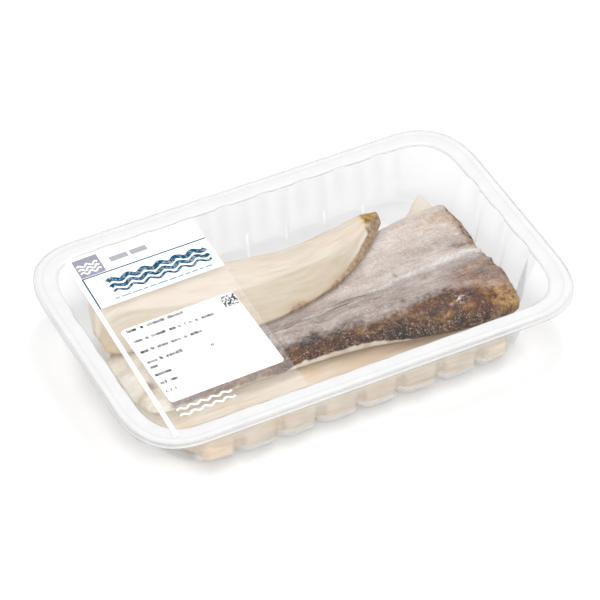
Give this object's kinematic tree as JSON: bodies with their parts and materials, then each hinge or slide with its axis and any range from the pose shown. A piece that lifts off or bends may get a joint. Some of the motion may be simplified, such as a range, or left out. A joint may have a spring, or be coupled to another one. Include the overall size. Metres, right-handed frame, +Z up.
{
  "type": "tray pack of desalted cod",
  "caption": "Clear fluted rectangular tray with a flat flange, sealed with a clear film bearing a pale print and a price sticker, holding fillets of desalted white fish.",
  "frame": {"origin": "middle of the tray's footprint, on the plane that the tray stands on", "axes": "+X along the tray's length, with the printed end at -X; +Z up; -Y faces the front long side"},
  "size_m": [0.2416, 0.1548, 0.0378],
  "materials": {
    "clear_tray": "gloss",
    "lid_film": "gloss",
    "sticker_paper": "satin",
    "cod_flesh": "satin",
    "cod_skin": "satin"
  },
  "bodies": {
    "root": {"tray": "clear_tray", "lid_film": "lid_film", "price_sticker": "sticker_paper", "cod_top": "cod_flesh", "cod_skin_up": "cod_skin", "cod_lower": "cod_flesh"}
  },
  "joints": []
}
